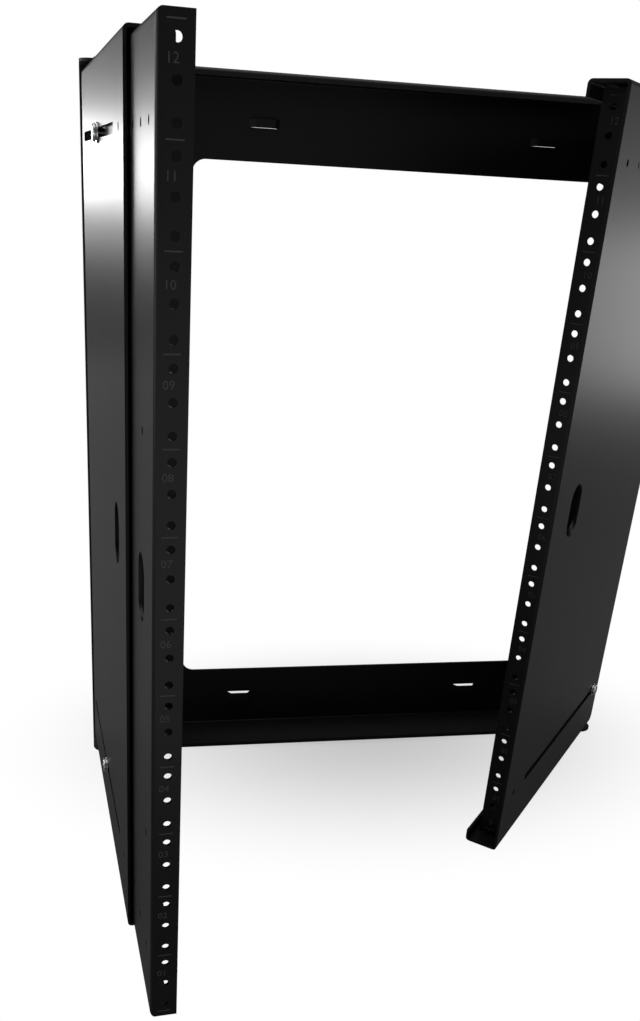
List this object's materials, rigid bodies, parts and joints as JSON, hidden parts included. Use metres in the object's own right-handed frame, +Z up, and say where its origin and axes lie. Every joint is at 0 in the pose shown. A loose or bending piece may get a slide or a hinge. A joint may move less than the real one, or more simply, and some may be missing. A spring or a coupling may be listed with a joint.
{
  "type": "open frame wall mount rack",
  "caption": "Open-frame wall rack: a rear frame for the wall, two folding side channels and sliding front rails with rack screw holes.",
  "frame": {"origin": "middle of the four wall slots, on the wall face of the rear frame", "axes": "+Y into the wall, +Z up, front rails at negative Y"},
  "size_m": [0.4976, 0.3836, 0.5626],
  "materials": {
    "frame_steel": "satin black powder coat",
    "panel_steel": "satin black powder coat",
    "bright_screw": "zinc plated",
    "black_bolt": "black oxide",
    "washer_nylon": "black nylon"
  },
  "bodies": {
    "rear_frame": {"rear_top_beam": "frame_steel", "rear_bottom_beam": "frame_steel", "rear_left_upright": "frame_steel", "rear_right_upright": "frame_steel", "left_top_pivot_bolt": "black_bolt", "left_top_pivot_washer": "washer_nylon", "left_bottom_pivot_bolt": "black_bolt", "left_bottom_pivot_washer": "washer_nylon", "right_top_pivot_bolt": "black_bolt", "right_top_pivot_washer": "washer_nylon", "right_bottom_pivot_bolt": "black_bolt", "right_bottom_pivot_washer": "washer_nylon"},
    "left_side": {"left_rear_panel": "panel_steel"},
    "left_rail": {"left_front_panel": "panel_steel", "left_top_clamp_screw": "bright_screw", "left_top_clamp_nut": "bright_screw", "left_bottom_clamp_screw": "bright_screw", "left_bottom_clamp_nut": "bright_screw"},
    "right_side": {"right_rear_panel": "panel_steel"},
    "right_rail": {"right_front_panel": "panel_steel", "right_top_clamp_screw": "bright_screw", "right_top_clamp_nut": "bright_screw", "right_bottom_clamp_screw": "bright_screw", "right_bottom_clamp_nut": "bright_screw"}
  },
  "joints": [
    {"name": "left_fold", "type": "hinge", "parent": "rear_frame", "child": "left_side", "pos_m": [-0.23225, -0.036, 0], "axis": [0, 0, -1], "range_deg": [-16, 4]},
    {"name": "right_fold", "type": "hinge", "parent": "rear_frame", "child": "right_side", "pos_m": [0.23225, -0.036, 0], "axis": [0, 0, 1], "range_deg": [0, 42]},
    {"name": "left_depth", "type": "slide", "parent": "left_side", "child": "left_rail", "axis": [0.0698, -0.9976, 0], "range_m": [-0.1055, 0.09]},
    {"name": "right_depth", "type": "slide", "parent": "right_side", "child": "right_rail", "axis": [-0.6691, -0.7431, 0], "range_m": [0, 0.1955]}
  ]
}
